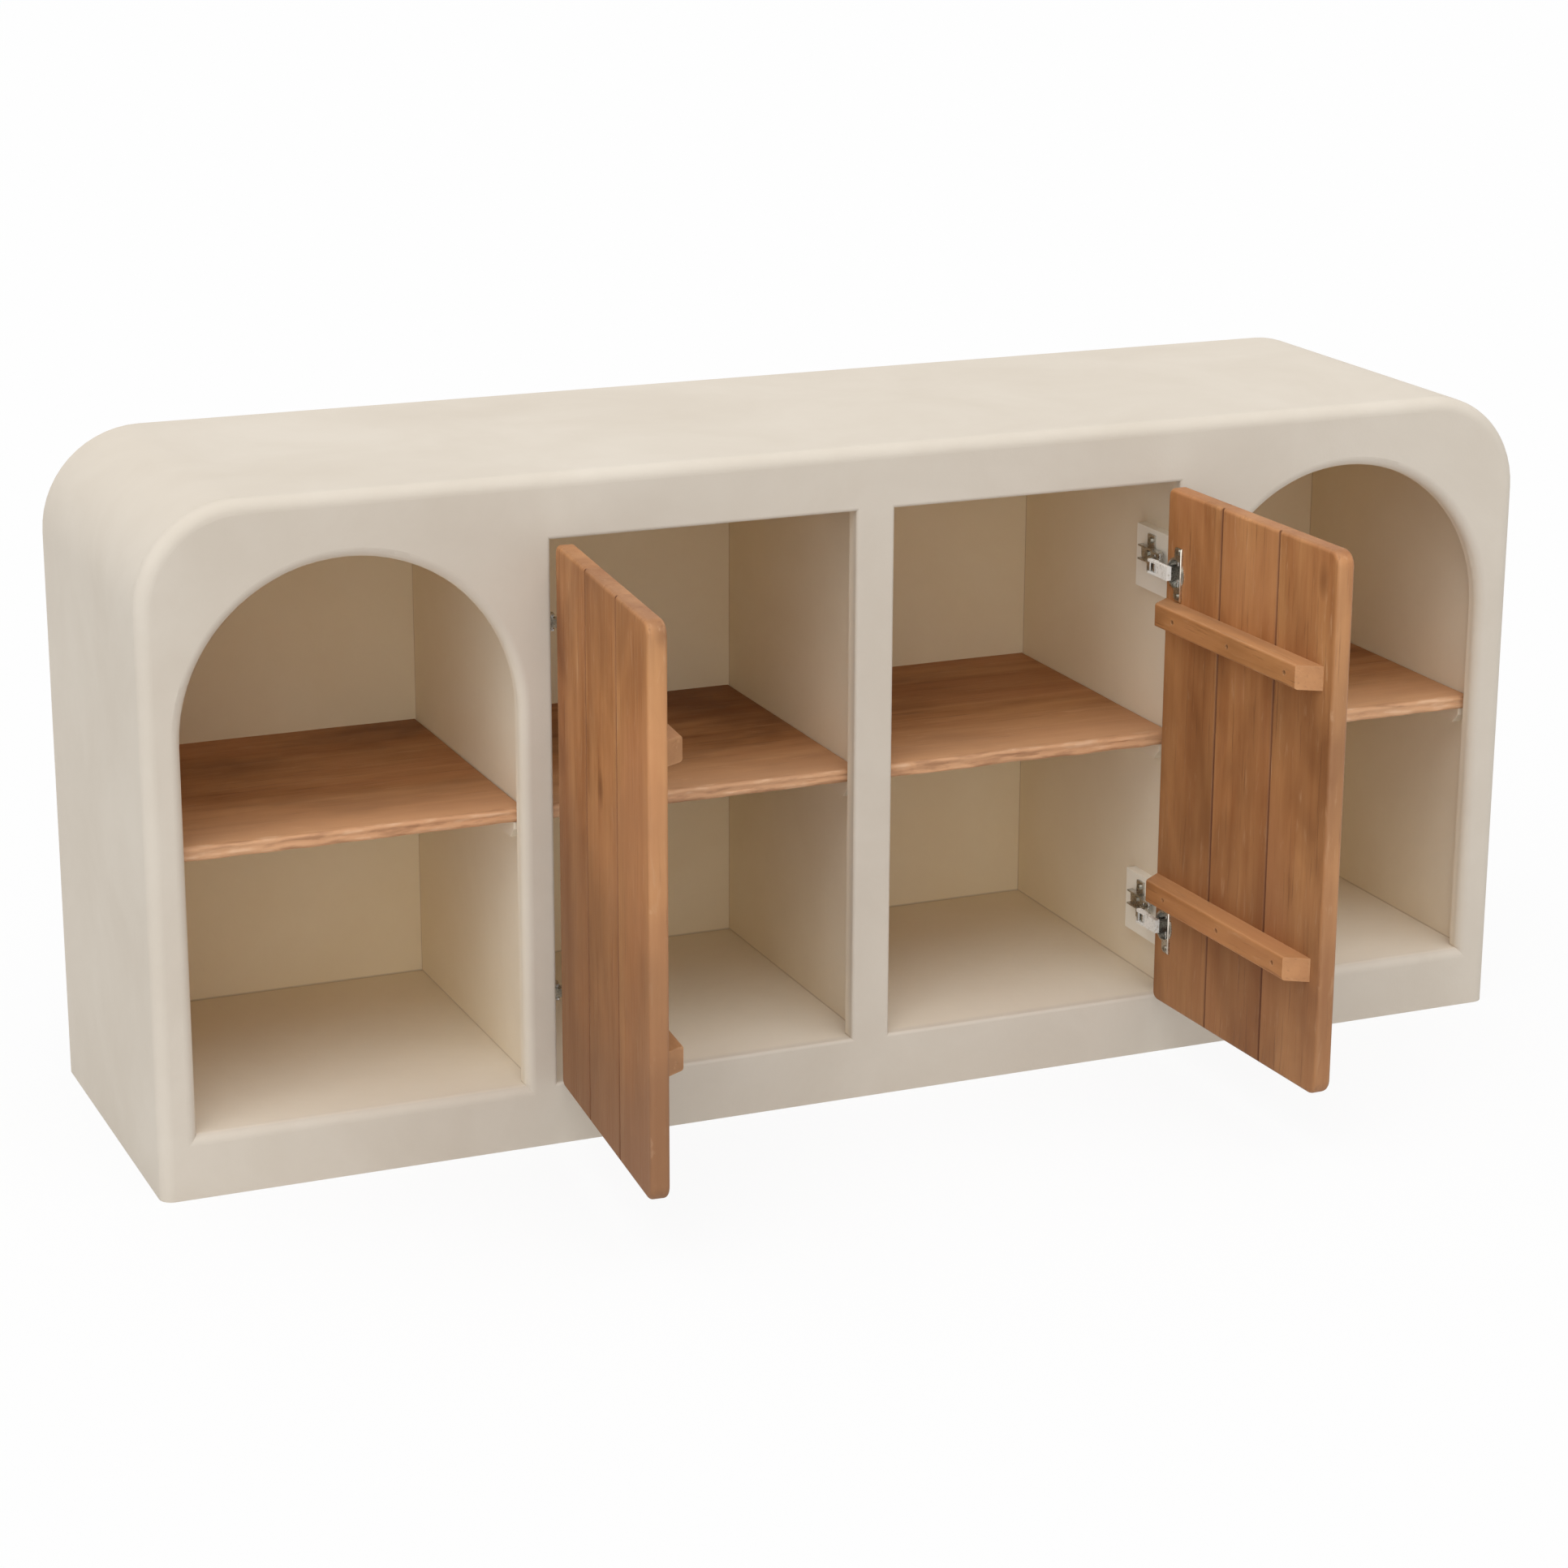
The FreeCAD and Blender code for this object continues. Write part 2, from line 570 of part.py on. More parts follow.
    # Links, drawn along their own length
    for label, across, deep in (("rear", "0", "0"), ("front", "second_pivot_across", "second_pivot_depth")):
        links = new_body(f"{side}_{label}_links", flip(side, f"-door_jamb + arm_pivot_side + {across}"),
                         f"front_face + arm_pivot_depth + {deep}", "0", side + "_link_angle")
        for level in levels:
            name = f"{links.Label}_{level}"
            span = (f"{level}_hinge_height - link_half_height", f"{level}_hinge_height + link_half_height")
            eyes = [("0", "0", "link_eye_radius"), ("link_length", "0", "link_eye_radius")]
            pad(links, name + "_eyes", "XY", eyes, *span)
            bar = rectangle("0", "link_length", "-link_half_width", "link_half_width")
            pad(links, name + "_bar", "XY", [bar], *span)
            cut(links, name + "_holes", "XY",
                [("0", "0", "pin_hole_radius"), ("link_length", "0", "pin_hole_radius")], *span)

    # Link blocks, origin at the rear link pin
    foot_low = "block_foot_depth - block_foot_half_width"
    foot_high = "block_foot_depth + block_foot_half_width"
    second = ("second_pivot_across", "second_pivot_depth")
    profile = (("block_foot_side", foot_high, "block_foot_side", "block_foot_depth"),
               ("block_foot_side - block_foot_half_width", "block_foot_depth", "block_foot_side", "block_foot_depth"),
               ("block_foot_side", foot_low), ("block_leg_outer", foot_low),
               ("block_leg_outer", "-block_slot_reach"),
               ("block_head_side", "second_pivot_depth", *second),
               ("second_pivot_across", "block_head_depth", *second),
               ("second_pivot_across - block_head_half_width", "second_pivot_depth"), ("-block_head_half_width", "0"),
               ("-block_leg_inner", "-block_slot_reach"), ("-block_leg_inner", foot_high))
    for level in levels:
        block = new_body(f"{side}_{level}_link_block", flip(side, f"-door_jamb + {side}_block_side"),
                         f"front_face + {side}_block_depth", f"{level}_hinge_height")
        full = ("-block_half_height", "block_half_height")
        pad(block, block.Label + "_body", "XY", [mirrored(side, profile)], *full)
        cut(block, block.Label + "_slot", "XY",
            [mirrored(side, rectangle(f"-block_head_half_width - {past}", f"block_head_side + {past}",
                                      "-block_slot_reach", f"block_head_depth + {past}"))],
            "-block_slot_half_height", "block_slot_half_height")
        hole = (flip(side, "block_foot_side"), "block_foot_depth", "pin_hole_radius")
        cut(block, block.Label + "_hole", "XY", [hole], *full)
        pad(block, block.Label + "_pins", "XY",
            [("0", "0", "pivot_pin_radius"),
             (flip(side, "second_pivot_across"), "second_pivot_depth", "pivot_pin_radius")],
            *full)

    # Packing block, mounting plate and arm, origin on the jamb line at the front face
    holes = [("plate_screw_depth", "plate_screw_half_spacing", "screw_hole_radius"),
             ("plate_screw_depth", "-plate_screw_half_spacing", "screw_hole_radius"),
             ("arm_screw_depth", "0", "screw_hole_radius")]
    rail, wing = "plate_rail_half_height", "plate_wing_half_height"
    fore, aft = "plate_wing_front_depth", "plate_wing_back_depth"
    first, last = "plate_front_depth", "plate_back_depth"
    plate_outline = ((first, f"-{rail}"), (fore, f"-{rail}"), (fore, f"-{wing}"), (aft, f"-{wing}"),
                     (aft, f"-{rail}"), (last, f"-{rail}"), (last, rail), (aft, rail), (aft, wing),
                     (fore, wing), (fore, rail), (first, rail))
    pivot = ("arm_pivot_side", "arm_pivot_depth")
    nose_near, nose_far = "arm_pivot_side - arm_nose_radius", "arm_pivot_side + arm_nose_radius"
    nose_front = "arm_pivot_depth - arm_nose_radius"
    crest = "plate_thickness + arm_rear_rise"
    arm_outline = (("plate_thickness", "arm_back_depth"), ("plate_thickness", "arm_web_depth"),
                   (nose_near, "arm_pivot_depth", *pivot), ("arm_pivot_side", nose_front, *pivot),
                   (nose_far, "arm_pivot_depth"),
                   (f"{nose_far} + second_pivot_across", "arm_pivot_depth + second_pivot_depth"),
                   (crest, "arm_shoulder_depth"), (crest, "arm_back_depth"))
    for level in levels:
        spot = dict(x=flip(side, "-door_jamb"), y="front_face", z=f"{level}_hinge_height")
        packing = new_body(f"{side}_{level}_packing_block", **spot)
        pad(packing, packing.Label + "_board", "YZ",
            [rectangle("face_panel_thickness", "packing_back_depth", "packing_low", "packing_high")] + holes,
            *spread(side, "-door_lip", "0"))
        plate = new_body(f"{side}_{level}_mounting_plate", **spot)
        thickness = spread(side, "0", "plate_thickness")
        pad(plate, plate.Label + "_sheet", "YZ", [plate_outline] + holes, *thickness)
        arm = new_body(f"{side}_{level}_hinge_arm", **spot)
        pad(arm, arm.Label + "_body", "XY", [mirrored(side, arm_outline)], "-arm_half_height", "arm_half_height")
        cut(arm, arm.Label + "_channel", "XY",
            [mirrored(side, rectangle("arm_web_face", f"{nose_far} + second_pivot_across + {past}",
                                      f"{nose_front} - {past}", f"arm_back_depth + {past}"))],
            "-arm_channel_half_height", "arm_channel_half_height")
        cut(arm, arm.Label + "_screw_hole", "YZ", [holes[2]], *spread(side, "0", f"arm_web_face + {past}"))
        pad(arm, arm.Label + "_pins", "XY",
            [(flip(side, "arm_pivot_side"), "arm_pivot_depth", "pivot_pin_radius"),
             (flip(side, "arm_pivot_side + second_pivot_across"), "arm_pivot_depth + second_pivot_depth",
              "pivot_pin_radius")], "-arm_half_height", "arm_half_height")

# Screws of the mounting plates and arms
plate_screws = new_body("mounting_plate_screws")
arm_screws = new_body("arm_screws")
for side in ("left", "right"):
    for body, depth, offsets, seat in (
            (plate_screws, "plate_screw_depth", ("+ plate_screw_half_spacing", "- plate_screw_half_spacing"),
             "plate_thickness"), (arm_screws, "arm_screw_depth", ("",), "arm_web_face")):
        centres = [(f"front_face + {depth}", f"{level}_hinge_height {offset}")
                   for level in levels for offset in offsets]
        screws(body, f"{side}_{body.Label}", "YZ", centres, flip(side, f"-door_jamb + {seat}"),
               heads_high=side == "left")

# Check every piece and write it
doc.recompute()
faults = [entry.Label for entry in doc.Objects if "Invalid" in entry.State or "Error" in entry.State]
for item in nodes:
    if item.Shape.isNull() or not item.Shape.isValid() or not item.Shape.Solids:
        faults.append(item.Label)
if faults:
    raise RuntimeError("faulty pieces: " + ", ".join(faults))
for item in nodes:
    item.Shape.exportStep(f"parts/{item.Label}.step")
    print(item.Label, len(item.Shape.Solids), round(item.Shape.Volume))
print(len(nodes), "nodes written")
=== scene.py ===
# %% [markdown]
# # A plastered sideboard with arched niches and plank doors
# This lesson dresses a finished CAD model. The shapes, the joints and the sizes come from the CAD frame.
# Blender adds what CAD can't say: the chalky plaster skin, the waxed wood with its worn edges, the nickel of
# the hinges, the light and the camera.

# %% Load the frame
import math

import bmesh
import bpy
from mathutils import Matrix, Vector, noise


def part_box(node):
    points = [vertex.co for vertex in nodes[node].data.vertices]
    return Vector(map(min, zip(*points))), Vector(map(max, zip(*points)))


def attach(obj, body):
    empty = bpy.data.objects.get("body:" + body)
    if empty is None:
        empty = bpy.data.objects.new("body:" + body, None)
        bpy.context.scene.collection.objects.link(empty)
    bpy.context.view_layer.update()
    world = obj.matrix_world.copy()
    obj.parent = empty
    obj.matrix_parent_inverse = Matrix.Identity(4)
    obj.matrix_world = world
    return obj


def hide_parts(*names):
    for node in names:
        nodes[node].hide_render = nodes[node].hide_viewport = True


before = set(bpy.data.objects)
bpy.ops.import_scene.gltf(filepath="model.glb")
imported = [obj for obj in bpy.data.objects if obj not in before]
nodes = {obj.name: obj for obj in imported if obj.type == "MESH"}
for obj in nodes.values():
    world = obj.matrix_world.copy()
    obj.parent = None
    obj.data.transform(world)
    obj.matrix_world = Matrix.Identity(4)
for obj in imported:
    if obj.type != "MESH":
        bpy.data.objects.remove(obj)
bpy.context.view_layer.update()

# %% [markdown]
# ## Helpers for shader nodes
# A material is a small network. A few helpers keep it readable: one adds a node and fills in its sockets, the
# next ones do sums, blends and noise, and one makes a node group, which is how Blender shares an effect
# between several materials. Colours are written as screen values and turned into the linear ones that
# Blender works with.


# %% Node helpers
def add(tree, kind, values=None, **settings):
    node = tree.nodes.new("ShaderNode" + kind)
    for name, value in settings.items():
        setattr(node, name, value)
    for name, value in (values or {}).items():
        socket = node.inputs[name]
        if isinstance(value, bpy.types.NodeSocket):
            tree.links.new(value, socket)
        else:
            socket.default_value = value
    return node


def maths(tree, operation, first, second=None, third=None):
    values = {k: v for k, v in enumerate((first, second, third)) if v is not None}
    return add(tree, "Math", values, operation=operation).outputs[0]


def times(tree, first, second):
    return maths(tree, "MULTIPLY", first, second)


def size_of(tree, value):
    return maths(tree, "ABSOLUTE", value)


def blend_colour(tree, factor, first, second):
    node = add(tree, "Mix", data_type="RGBA", clamp_factor=True)
    for k, value in ((0, factor), (6, first), (7, second)):
        if isinstance(value, bpy.types.NodeSocket):
            tree.links.new(value, node.inputs[k])
        else:
            node.inputs[k].default_value = value
    return node.outputs[2]


def remap(tree, value, low, high, to_low=0.0, to_high=1.0):
    limits = {"Value": value, "From Min": low, "From Max": high, "To Min": to_low, "To Max": to_high}
    return add(tree, "MapRange", limits, clamp=True).outputs[0]


def noise_at(tree, place, scale, detail, **more):
    values = {"Vector": place, "Scale": scale, "Detail": detail, **more}
    return add(tree, "TexNoise", values).outputs[0]


def split_axes(tree, vector):
    return add(tree, "SeparateXYZ", {"Vector": vector}).outputs


def along_line(tree, vector, direction):
    return add(tree, "VectorMath", {0: vector, 1: direction}, operation="DOT_PRODUCT").outputs["Value"]


def new_group(name, inputs, outputs):
    group = bpy.data.node_groups.new(name, "ShaderNodeTree")
    for label, kind, value in inputs:
        socket = group.interface.new_socket(label, in_out="INPUT", socket_type="NodeSocket" + kind)
        if value is not None:
            socket.default_value = value
    for label in outputs:
        group.interface.new_socket(label, in_out="OUTPUT", socket_type="NodeSocketFloat")
    return group, group.nodes.new("NodeGroupInput").outputs, group.nodes.new("NodeGroupOutput").inputs


def send(group, result, values):
    for label, socket in values.items():
        group.links.new(socket, result[label])
    print(group.name, "group:", len(group.nodes), "nodes")


def srgb(red, green, blue):
    shares = [part / 255 for part in (red, green, blue)]
    return (*(c / 12.92 if c <= 0.04 else ((c + 0.055) / 1.055) ** 2.4 for c in shares), 1.0)


def new_material(name):
    material = bpy.data.materials.new(name)
    material.use_nodes = True
    tree = material.node_tree
    return material, tree, tree.nodes["Principled BSDF"]


def link_to(object_name, data):
    holder = bpy.data.objects.new(object_name, data)
    bpy.context.scene.collection.objects.link(holder)
    return holder


# %% [markdown]
# ## Limewash plaster
# The real skin is a thin cream coat brushed over board. Close to, it has soft trowel waves a hand wide and a
# fine sandy grain; from a step away only a faint cloudiness of colour is left. One group gives the cloudiness
# as a mask and the surface as a height, so the carcass and the small painted blocks can share it.

# %% Plaster group
plaster_group, source, result = new_group(
    "plaster_skin",
    [("Vector", "Vector", None), ("Cloud Scale", "Float", 5.0), ("Grain Scale", "Float", 420.0)],
    ["Clouds", "Height"])
place = source["Vector"]
clouds = noise_at(plaster_group, place, source["Cloud Scale"], 5.0, Roughness=0.62, Distortion=0.4)
waves = noise_at(plaster_group, place, 14.0, 3.0, Roughness=0.5)
sand = noise_at(plaster_group, place, source["Grain Scale"], 2.0)
send(plaster_group, result,
     {"Clouds": clouds, "Height": maths(plaster_group, "MULTIPLY_ADD", sand, 0.12, waves)})

# %% [markdown]
# ## Inside or outside
# The compartments get painted light: the same plaster is painted paler and yellower inside than the brushed
# skin outside, most of all at the back. One panel has faces both inside and outside, so the piece can't
# decide.
# This group reads where a point of the carcass lies instead: Inside is 1 in the room that the panels close
# in, and less on upward faces, Depth grows from the mouth to the back, and Seams marks a thin line of painted
# shade where the walls meet the back and the deck.

# %% Inside mask group
face_y, mouth_y, far_y, back_y = -0.2145, -0.2, 0.1, 0.1975
deck_z, ceiling_z, wall_x = 0.0715, 0.7305, 0.8005
corner_x, corner_z, corner_radius = 0.715, 0.645, 0.099
soft, seam = 0.001, 0.003
level, upright_wall = (0.7, 0.9), (0.5, 0.3)
inside_group, source, result = new_group(
    "inside_cabinet", [("Vector", "Vector", None), ("Normal", "Vector", None)],
    ["Inside", "Depth", "Seams"])
x, y, z = (split_axes(inside_group, source["Vector"])[axis] for axis in "XYZ")
facing = split_axes(inside_group, source["Normal"])
across = size_of(inside_group, x)
past_corner = maths(inside_group, "MAXIMUM", maths(inside_group, "SUBTRACT", across, corner_x), 0.0)
above_corner = maths(inside_group, "MAXIMUM", maths(inside_group, "SUBTRACT", z, corner_z), 0.0)
reach = maths(inside_group, "SQRT", maths(inside_group, "MULTIPLY_ADD", past_corner, past_corner,
                                          times(inside_group, above_corner, above_corner)))
room = remap(inside_group, y, face_y, mouth_y)
for value, outer, inner in ((z, ceiling_z + soft, ceiling_z), (across, wall_x + soft, wall_x),
                            (y, back_y + soft, back_y), (z, deck_z - soft, deck_z),
                            (reach, corner_radius + 2 * soft, corner_radius)):
    room = times(inside_group, room, remap(inside_group, value, outer, inner))
# Upward faces such as the deck get less of this painted light, and less still near the mouth.
deck_share = remap(inside_group, facing["Z"], *level, 1.0, 0.82)
mouth_share = remap(inside_group, facing["Z"], *level, 1.0, 0.75)
room = times(inside_group, room, times(
    inside_group, deck_share, remap(inside_group, y, mouth_y, far_y, mouth_share, 1.0)))
# Seams: a thin line of painted shade where the walls meet the back and the deck.
beside_back = times(inside_group, remap(inside_group, y, back_y - seam, back_y - soft),
                    remap(inside_group, size_of(inside_group, facing["Y"]), *upright_wall))
beside_deck = times(inside_group, remap(inside_group, z, deck_z + seam, deck_z + soft),
                    remap(inside_group, size_of(inside_group, facing["Z"]), *upright_wall))
seams = times(inside_group, maths(inside_group, "MAXIMUM", beside_back, beside_deck), room)
send(inside_group, result,
     {"Inside": room, "Depth": remap(inside_group, y, mouth_y, far_y), "Seams": seams})

# %% [markdown]
# ## Two plaster finishes
# The carcass and the cleats under its shelves wear the cream plaster. The packing blocks behind the hinges
# are brighter, painted smooth. Both come from one function: each tone is a pair that the clouds blend, and
# the masks choose between the skin outside and the painted light of a compartment, paler at its mouth and
# yellower at its back, with a line of painted shade along its seams.

# %% Plaster materials
# Colour of the painted shade in the seams.
seam_shade_brown = srgb(120, 92, 62)


def plaster_material(name, outside, mouth, inside, bump, roughness):
    material, tree, shader = new_material(name)
    coordinates = add(tree, "TexCoord").outputs
    skin = add(tree, "Group", {"Vector": coordinates["Object"]}, node_tree=plaster_group).outputs
    where = {"Vector": coordinates["Object"], "Normal": coordinates["Normal"]}
    within = add(tree, "Group", where, node_tree=inside_group).outputs
    clouds = remap(tree, skin["Clouds"], 0.32, 0.68)
    at_skin, at_mouth, at_back = (
        blend_colour(tree, clouds, deep, pale) for pale, deep in (outside, mouth, inside))
    # Painted light: inside a compartment the plaster turns to the paler mouth tone and the yellower back
    # tone.
    tone = blend_colour(tree, within["Inside"], at_skin,
                        blend_colour(tree, within["Depth"], at_mouth, at_back))
    # Painted shade along the seams.
    tone = blend_colour(tree, times(tree, within["Seams"], 0.35), tone, seam_shade_brown)
    tree.links.new(tone, shader.inputs["Base Color"])
    tree.links.new(remap(tree, skin["Clouds"], 0.3, 0.7, roughness - 0.06, roughness + 0.06),
                   shader.inputs["Roughness"])
    relief = add(tree, "Bump", {"Strength": bump, "Distance": 0.004, "Height": skin["Height"]})
    tree.links.new(relief.outputs[0], shader.inputs["Normal"])
    shader.inputs["Specular IOR Level"].default_value = 0.25
    return material


skin_tones = (srgb(209, 200, 187), srgb(202, 192, 178))
# Painted light tones for the mouth and the back of a compartment.
mouth_light_tones = (srgb(238, 227, 208), srgb(232, 220, 200))
inner_light_tones = (srgb(249, 233, 202), srgb(245, 227, 193))
paint_tones = (srgb(250, 246, 234), srgb(246, 240, 226))
cream_plaster = plaster_material("cream_plaster", skin_tones, mouth_light_tones, inner_light_tones, 0.22, 0.82)
painted_blocks = plaster_material("painted_blocks", paint_tones, paint_tones, paint_tones, 0.15, 0.6)
print("plaster materials:", cream_plaster.name, painted_blocks.name)

# %% [markdown]
# ## Waxed wood
# The doors and shelves are old boards, sanded and waxed. Growth rings cut lengthways show as long streaks, a
# noise stretched along the grain. Much finer ones give the open pores and pale flecks, a slow one lets whole
# patches of board run darker or redder, and a few cells of a Voronoi pattern become knots. The seed is a
# fourth coordinate of the noise, so each board has a grain of its own.

# %% Wood group
wood_group, source, result = new_group(
    "plank_grain", [("Vector", "Vector", None), ("Seed", "Float", 0.0)],
    ["Streaks", "Patches", "Pores", "Knots", "Flecks", "Height"])


def stretched(scale, along, detail, rough, twist, shift):
    longer = add(wood_group, "VectorMath", {0: source["Vector"], 1: (1.0, 1.0, along)}, operation="MULTIPLY")
    away = (shift, shift * 0.7, shift * 0.3)
    moved = add(wood_group, "VectorMath", {0: longer.outputs[0], 1: away}, operation="ADD")
    values = {"Vector": moved.outputs[0], "W": source["Seed"], "Scale": scale, "Detail": detail,
              "Roughness": rough, "Distortion": twist}
    return add(wood_group, "TexNoise", values, noise_dimensions="4D").outputs[0]


ring_field = stretched(9.0, 0.10, 2.0, 0.5, 0.8, 3.1)
ring_count = 7.0
rings = maths(wood_group, "PINGPONG", times(wood_group, ring_field, ring_count), 1.0)
blotches = stretched(16.0, 0.4, 4.0, 0.62, 0.6, 9.1)
fine = stretched(75.0, 0.05, 5.0, 0.65, 0.3, 7.7)
pores = remap(wood_group, stretched(240.0, 0.04, 3.0, 0.6, 0.0, 1.3), 0.58, 0.7)
patches = stretched(6.5, 0.45, 3.0, 0.6, 0.5, 5.9)
flecks = stretched(120.0, 0.16, 3.0, 0.6, 0.4, 2.3)
squeezed = add(wood_group, "VectorMath", {0: source["Vector"], 1: (1.0, 1.0, 0.5)}, operation="MULTIPLY")
own_place = add(wood_group, "CombineXYZ", {axis: source["Seed"] for axis in "XYZ"})
moved = add(wood_group, "VectorMath", {0: squeezed.outputs[0], 1: own_place.outputs[0]}, operation="ADD")
knot_field = add(wood_group, "TexVoronoi", {"Vector": moved.outputs[0], "Scale": 8.0})
streaks = maths(wood_group, "MULTIPLY_ADD", rings, 0.16, times(wood_group, fine, 0.42))
height = maths(wood_group, "MULTIPLY_ADD", fine, 0.5, times(wood_group, rings, 0.2))
send(wood_group, result, {
    "Streaks": maths(wood_group, "MULTIPLY_ADD", blotches, 0.42, streaks), "Patches": patches,
    "Pores": pores, "Knots": remap(wood_group, knot_field.outputs["Distance"], 0.04, 0.11, 1.0, 0.0),
    "Flecks": flecks, "Height": maths(wood_group, "MULTIPLY_ADD", pores, -0.6, height)})

# %% [markdown]
# ## Worn edges
# Where boards are handled, the wax goes first from the arrises, and here and there a chip flakes off and
# shows raw wood. The Bevel node finds such edges: its smoothed normal turns away from the true one there. A
# noise breaks the wear up, because no hand rubs an edge evenly.

# %% Worn edge group
wear_group, source, result = new_group(
    "worn_edge", [("Radius", "Float", 0.004), ("Vector", "Vector", None)], ["Wear", "Chips"])
smoothed = add(wear_group, "Bevel", {"Radius": source["Radius"]}, samples=4).outputs[0]
agreement = along_line(wear_group, smoothed, add(wear_group, "NewGeometry").outputs["Normal"])
patchy = noise_at(wear_group, source["Vector"], 60.0, 3.0)
flaked = noise_at(wear_group, source["Vector"], 38.0, 2.0)
wear = times(wear_group, remap(wear_group, agreement, 0.995, 0.86), remap(wear_group, patchy, 0.3, 0.65))
chips = times(wear_group, remap(wear_group, flaked, 0.63, 0.67), remap(wear_group, agreement, 0.97, 0.9))
send(wear_group, result, {"Wear": wear, "Chips": chips})

# %% [markdown]
# ## One function for every board
# A board is built up in layers: the plain colour first, then dark patches, pores and knots, paler sawn
# edges, a redder cast and flecks. Some boards get more. Shelves get painted light, paler towards the front,
# and tool marks there with painted shade in their hollows. Planks have a line of painted shade at each joint,
# placed by distance along the door, and wear keeps clear of it. Near the floor the planks go grey, their end
# grain is dark with wax, and their arrises are chipped.

# %% Wood tones
chip = srgb(222, 184, 150)
shadow_brown = srgb(84, 38, 8)
rosy = srgb(196, 136, 92)
grey_brown = srgb(124, 88, 61)
door_tones = (srgb(112, 66, 32), srgb(159, 102, 58), srgb(192, 137, 87), srgb(213, 171, 131))
batten_tones = (srgb(108, 63, 30), srgb(150, 95, 52), srgb(182, 127, 78), srgb(206, 162, 120))
shelf_tones = (srgb(106, 62, 30), srgb(154, 101, 58), srgb(187, 134, 87), srgb(212, 165, 126))
print("wood tones:", len(door_tones + batten_tones + shelf_tones))


# %% Wood extras
# Painted light on a shelf front, and its tool marks.
def lit_front_and_tool_marks(tree, body, place, dark, pale, front_light):
    depth = split_axes(tree, place)["Y"]
    # Painted light: the board is painted paler towards its front, where more light reaches it.
    body = blend_colour(tree, remap(tree, depth, -0.03, -0.192, 0.0, front_light), body, pale)
    slant = {"Vector": place, "Rotation": (0.0, math.radians(-28), 0.0), "Scale": (0.22, 1.0, 1.2)}
    tool_marks = noise_at(tree, add(tree, "Mapping", slant).outputs[0], 120.0, 4.0)
    front = remap(tree, depth, -0.176, -0.186)
    # Painted shade in the hollows of the tool marks, and pale raw wood on their ridges.
    hollow_shade = times(tree, front, remap(tree, tool_marks, 0.48, 0.34, 0.0, 0.35))
    ridges = times(tree, front, remap(tree, tool_marks, 0.56, 0.7, 0.0, 0.7))
    return blend_colour(tree, ridges, blend_colour(tree, hollow_shade, body, dark), chip)


def weathered(tree, body, coordinates, dark, chips, greyed):
    uneven = noise_at(tree, coordinates["Object"], 7.0, 3.0)
    rise = maths(tree, "MULTIPLY_ADD", uneven, 0.5, split_axes(tree, coordinates["Object"])["Z"])
    body = blend_colour(tree, remap(tree, rise, 0.82, 0.42, 0.0, greyed), body, grey_brown)
    end_grain = size_of(tree, along_line(tree, coordinates["Normal"], (0.0, 0.0, 1.0)))
    body = blend_colour(tree, remap(tree, end_grain, 0.6, 0.9, 0.0, 0.35), body, dark)
    return blend_colour(tree, chips, body, chip)


# %% Wood materials
def wood_material(name, grain_turn, seed, tones, broad_face, end_amount, wear_radius=0.004, front_light=0.0,
                  leaf_along=None, joints=(), greyed=0.0):
    dark, middle, light, pale = tones
    material, tree, shader = new_material(name)
    coordinates = add(tree, "TexCoord").outputs
    place = coordinates["Object"]
    along = add(tree, "Mapping", {"Vector": place, "Rotation": grain_turn}).outputs[0]
    grain = add(tree, "Group", {"Vector": along, "Seed": seed}, node_tree=wood_group).outputs
    worn = add(tree, "Group", {"Vector": place, "Radius": wear_radius}, node_tree=wear_group).outputs
    flatness = size_of(tree, along_line(tree, coordinates["Normal"], broad_face))

    body = blend_colour(tree, remap(tree, grain["Streaks"], 0.36, 0.64), middle, light)
    for mask, colour in ((remap(tree, grain["Patches"], 0.52, 0.34, 0.0, 0.7), dark),
                         (times(tree, grain["Pores"], 0.45), dark),
                         (times(tree, grain["Knots"], 0.7), dark),
                         (remap(tree, flatness, 0.9, 0.6, 0.0, end_amount), pale),
                         (remap(tree, grain["Patches"], 0.52, 0.66, 0.0, 0.45), rosy),
                         (remap(tree, grain["Flecks"], 0.6, 0.75, 0.0, 0.4), pale)):
        body = blend_colour(tree, mask, body, colour)
    if front_light:
        body = lit_front_and_tool_marks(tree, body, place, dark, pale, front_light)

    gaps = [size_of(tree, maths(tree, "SUBTRACT", along_line(tree, place, leaf_along), joint))
            for joint in joints]
    rubbed, chipped = times(tree, worn["Wear"], 0.32), times(tree, worn["Chips"], 0.7)
    for gap in gaps:
        clear = remap(tree, gap, 0.004, 0.011)
        rubbed, chipped = times(tree, rubbed, clear), times(tree, chipped, clear)
    body = blend_colour(tree, rubbed, body, pale)
    if greyed:
        body = weathered(tree, body, coordinates, dark, chipped, greyed)
    # Painted shade: a dark line in each joint between the planks.
    for gap in gaps:
        line = times(tree, remap(tree, gap, 0.0028, 0.0012, 0.0, 0.9), remap(tree, flatness, 0.3, 0.6))
        line = times(tree, line, remap(tree, grain["Patches"], 0.35, 0.6, 1.0, 0.75))
        body = blend_colour(tree, line, body, shadow_brown)

    tree.links.new(body, shader.inputs["Base Color"])
    tree.links.new(remap(tree, grain["Streaks"], 0.2, 0.8, 0.66, 0.5), shader.inputs["Roughness"])
    relief = add(tree, "Bump", {"Strength": 0.45, "Distance": 0.0015, "Height": grain["Height"]})
    tree.links.new(relief.outputs[0], shader.inputs["Normal"])
    shader.inputs["Specular IOR Level"].default_value = 0.3
    return material


print("wood function ready")
